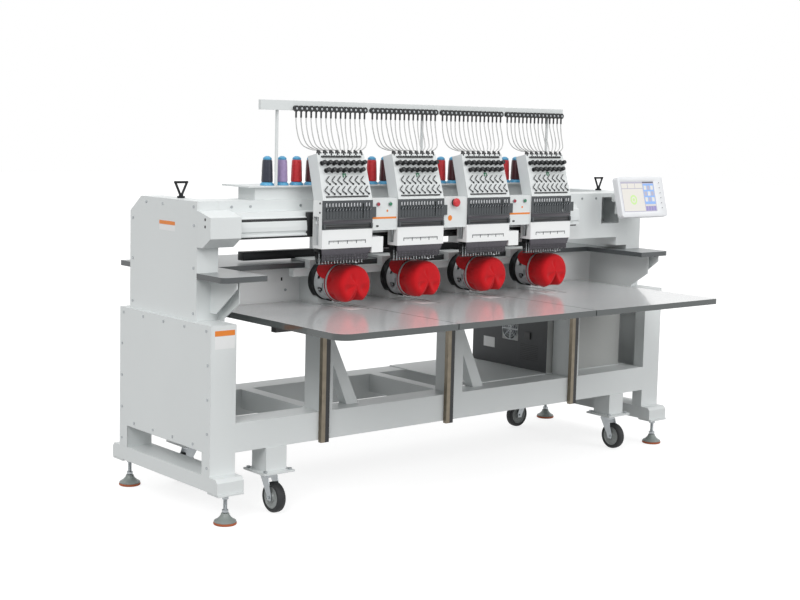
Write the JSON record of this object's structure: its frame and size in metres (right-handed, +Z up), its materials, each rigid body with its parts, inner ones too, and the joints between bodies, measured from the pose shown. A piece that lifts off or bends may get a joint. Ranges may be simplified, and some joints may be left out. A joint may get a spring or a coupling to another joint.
{
  "type": "embroidery machine",
  "caption": "Multi-head embroidery machine on a steel stand, with needle heads, a cap drive with fitted caps, a lower and an upper table, a thread stand and a tilting screen.",
  "frame": {"origin": "on the floor, under the middle of the box around the whole machine", "axes": "+X along the row of heads, to the screen; +Y from the operator to the back; +Z up"},
  "size_m": [2.685, 1.2859, 1.659],
  "materials": {
    "white_paint": "satin powder coat",
    "dark_laminate": "satin laminate",
    "grey_laminate": "gloss laminate",
    "steel": "brushed",
    "dark_paint": "satin",
    "black_plastic": "matte",
    "dark_plastic": "satin",
    "zinc": "zinc plated",
    "thread": "wound polyester thread",
    "white_plastic": "satin",
    "red_plastic": "gloss",
    "green_plastic": "gloss",
    "ring_steel": "plated",
    "red_fabric": "cotton twill",
    "caster_rubber": "satin"
  },
  "bodies": {
    "machine_frame": {"stand_frame": "white_paint", "side_covers": "white_paint", "columns": "white_paint", "head_beam": "white_paint", "beam_covers": "white_paint", "upper_table": "dark_laminate", "side_plates": "white_paint", "bed_panel": "white_paint", "sewing_arms": "white_paint", "needle_plates": "steel", "control_cabinet": "white_paint", "cabinet_inlet": "black_plastic", "head_castings": "dark_paint", "thread_tray": "zinc", "thread_cones": "thread", "thread_tree": "zinc", "thread_guides": "black_plastic", "lifting_eyes": "zinc", "screen_bracket": "white_paint", "slide_rails": "zinc", "fasteners": "zinc", "levelling_feet": "zinc"},
    "lower_table": {"lower_table": "grey_laminate", "table_sliders": "black_plastic"},
    "colour_carriage": {"needle_cases": "white_paint", "case_covers": "dark_plastic", "tension_boxes": "white_paint", "thread_controls": "black_plastic", "idle_needles": "steel", "button_panels": "white_paint"},
    "needle_drive": {"active_needles": "steel"},
    "take_up": {"active_levers": "steel"},
    "cap_carriage": {"cap_beam": "dark_paint"},
    "fan": {"cabinet_fan": "black_plastic"},
    "screen_unit": {"screen": "white_plastic"},
    "stop_mushroom": {"emergency_stop": "red_plastic"},
    "hook_body_1": {"hook_1": "steel"},
    "ring_body_1": {"cap_ring_1": "ring_steel", "cap_1": "red_fabric"},
    "fork_body_1": {"caster_fork_1": "zinc"},
    "wheel_body_1": {"caster_wheel_1": "caster_rubber"},
    "hook_body_2": {"hook_2": "steel"},
    "ring_body_2": {"cap_ring_2": "ring_steel", "cap_2": "red_fabric"},
    "fork_body_2": {"caster_fork_2": "zinc"},
    "wheel_body_2": {"caster_wheel_2": "caster_rubber"},
    "hook_body_3": {"hook_3": "steel"},
    "ring_body_3": {"cap_ring_3": "ring_steel", "cap_3": "red_fabric"},
    "fork_body_3": {"caster_fork_3": "zinc"},
    "wheel_body_3": {"caster_wheel_3": "caster_rubber"},
    "hook_body_4": {"hook_4": "steel"},
    "ring_body_4": {"cap_ring_4": "ring_steel", "cap_4": "red_fabric"},
    "fork_body_4": {"caster_fork_4": "zinc"},
    "wheel_body_4": {"caster_wheel_4": "caster_rubber"},
    "stop_key_1": {"stop_button_1": "red_plastic"},
    "start_key_1": {"start_button_1": "green_plastic"},
    "stop_key_2": {"stop_button_2": "red_plastic"},
    "start_key_2": {"start_button_2": "green_plastic"}
  },
  "joints": [
    {"name": "table_lift", "type": "slide", "parent": "machine_frame", "child": "lower_table", "axis": [0, 0, 1], "range_m": [0, 0.01]},
    {"name": "colour_change", "type": "slide", "parent": "machine_frame", "child": "colour_carriage", "axis": [1, 0, 0], "range_m": [-0.032, 0.192]},
    {"name": "needle_stroke", "type": "slide", "parent": "colour_carriage", "child": "needle_drive", "axis": [0, 0, 1], "range_m": [-0.02, 0]},
    {"name": "lever_swing", "type": "hinge", "parent": "colour_carriage", "child": "take_up", "pos_m": [0, -0.076, 1.2], "axis": [1, 0, 0], "range_deg": [0, 30]},
    {"name": "cap_feed", "type": "slide", "parent": "machine_frame", "child": "cap_carriage", "axis": [0, 1, 0], "range_m": [-0.07, 0]},
    {"name": "hook_turn_1", "type": "hinge", "parent": "machine_frame", "child": "hook_body_1", "pos_m": [-0.6, -0.061, 0.93], "axis": [0, 1, 0], "continuous": true},
    {"name": "hook_turn_2", "type": "hinge", "parent": "machine_frame", "child": "hook_body_2", "pos_m": [-0.2, -0.061, 0.93], "axis": [0, 1, 0], "continuous": true},
    {"name": "hook_turn_3", "type": "hinge", "parent": "machine_frame", "child": "hook_body_3", "pos_m": [0.2, -0.061, 0.93], "axis": [0, 1, 0], "continuous": true},
    {"name": "hook_turn_4", "type": "hinge", "parent": "machine_frame", "child": "hook_body_4", "pos_m": [0.6, -0.061, 0.93], "axis": [0, 1, 0], "continuous": true},
    {"name": "cap_turn_1", "type": "hinge", "parent": "cap_carriage", "child": "ring_body_1", "pos_m": [-0.6, 0.114, 0.899], "axis": [0, 1, 0], "range_deg": [-120, 120]},
    {"name": "cap_turn_2", "type": "hinge", "parent": "cap_carriage", "child": "ring_body_2", "pos_m": [-0.2, 0.114, 0.899], "axis": [0, 1, 0], "range_deg": [-120, 120]},
    {"name": "cap_turn_3", "type": "hinge", "parent": "cap_carriage", "child": "ring_body_3", "pos_m": [0.2, 0.114, 0.899], "axis": [0, 1, 0], "range_deg": [-120, 120]},
    {"name": "cap_turn_4", "type": "hinge", "parent": "cap_carriage", "child": "ring_body_4", "pos_m": [0.6, 0.114, 0.899], "axis": [0, 1, 0], "range_deg": [-120, 120]},
    {"name": "caster_swivel_1", "type": "hinge", "parent": "machine_frame", "child": "fork_body_1", "pos_m": [-1.024, -0.076, 0.15], "axis": [0, 0, 1], "continuous": true},
    {"name": "caster_roll_1", "type": "hinge", "parent": "fork_body_1", "child": "wheel_body_1", "pos_m": [-1.024, -0.113, 0.0625], "axis": [1, 0, 0], "continuous": true},
    {"name": "caster_swivel_2", "type": "hinge", "parent": "machine_frame", "child": "fork_body_2", "pos_m": [1.024, -0.076, 0.15], "axis": [0, 0, 1], "continuous": true},
    {"name": "caster_roll_2", "type": "hinge", "parent": "fork_body_2", "child": "wheel_body_2", "pos_m": [1.024, -0.113, 0.0625], "axis": [1, 0, 0], "continuous": true},
    {"name": "caster_swivel_3", "type": "hinge", "parent": "machine_frame", "child": "fork_body_3", "pos_m": [-1.024, 0.524, 0.15], "axis": [0, 0, 1], "continuous": true},
    {"name": "caster_roll_3", "type": "hinge", "parent": "fork_body_3", "child": "wheel_body_3", "pos_m": [-1.061, 0.524, 0.0625], "axis": [0, 1, 0], "continuous": true},
    {"name": "caster_swivel_4", "type": "hinge", "parent": "machine_frame", "child": "fork_body_4", "pos_m": [1.024, 0.524, 0.15], "axis": [0, 0, 1], "continuous": true},
    {"name": "caster_roll_4", "type": "hinge", "parent": "fork_body_4", "child": "wheel_body_4", "pos_m": [0.987, 0.524, 0.0625], "axis": [0, 1, 0], "continuous": true},
    {"name": "fan_spin", "type": "hinge", "parent": "machine_frame", "child": "fan", "pos_m": [0.65, 0.252, 0.579], "axis": [1, 0, 0], "continuous": true},
    {"name": "screen_tilt", "type": "hinge", "parent": "machine_frame", "child": "screen_unit", "pos_m": [1.14, -0.081, 1.238], "axis": [1, 0, 0], "range_deg": [-15, 15]},
    {"name": "stop_press", "type": "slide", "parent": "colour_carriage", "child": "stop_mushroom", "axis": [0, 1, 0], "range_m": [0, 0.004]},
    {"name": "stop_key_press_1", "type": "slide", "parent": "colour_carriage", "child": "stop_key_1", "axis": [0, 1, 0], "range_m": [0, 0.0025], "stiffness_N_per_m": 300},
    {"name": "start_key_press_1", "type": "slide", "parent": "colour_carriage", "child": "start_key_1", "axis": [0, 1, 0], "range_m": [0, 0.0025], "stiffness_N_per_m": 300},
    {"name": "stop_key_press_2", "type": "slide", "parent": "colour_carriage", "child": "stop_key_2", "axis": [0, 1, 0], "range_m": [0, 0.0025], "stiffness_N_per_m": 300},
    {"name": "start_key_press_2", "type": "slide", "parent": "colour_carriage", "child": "start_key_2", "axis": [0, 1, 0], "range_m": [0, 0.0025], "stiffness_N_per_m": 300}
  ],
  "couplings": [
    {"joint": "lever_swing", "follows": "needle_stroke", "rad_per_m": -26.1},
    {"joint": "hook_turn_2", "follows": "hook_turn_1", "ratio": 1},
    {"joint": "cap_turn_2", "follows": "cap_turn_1", "ratio": 1},
    {"joint": "hook_turn_3", "follows": "hook_turn_1", "ratio": 1},
    {"joint": "cap_turn_3", "follows": "cap_turn_1", "ratio": 1},
    {"joint": "hook_turn_4", "follows": "hook_turn_1", "ratio": 1},
    {"joint": "cap_turn_4", "follows": "cap_turn_1", "ratio": 1}
  ]
}
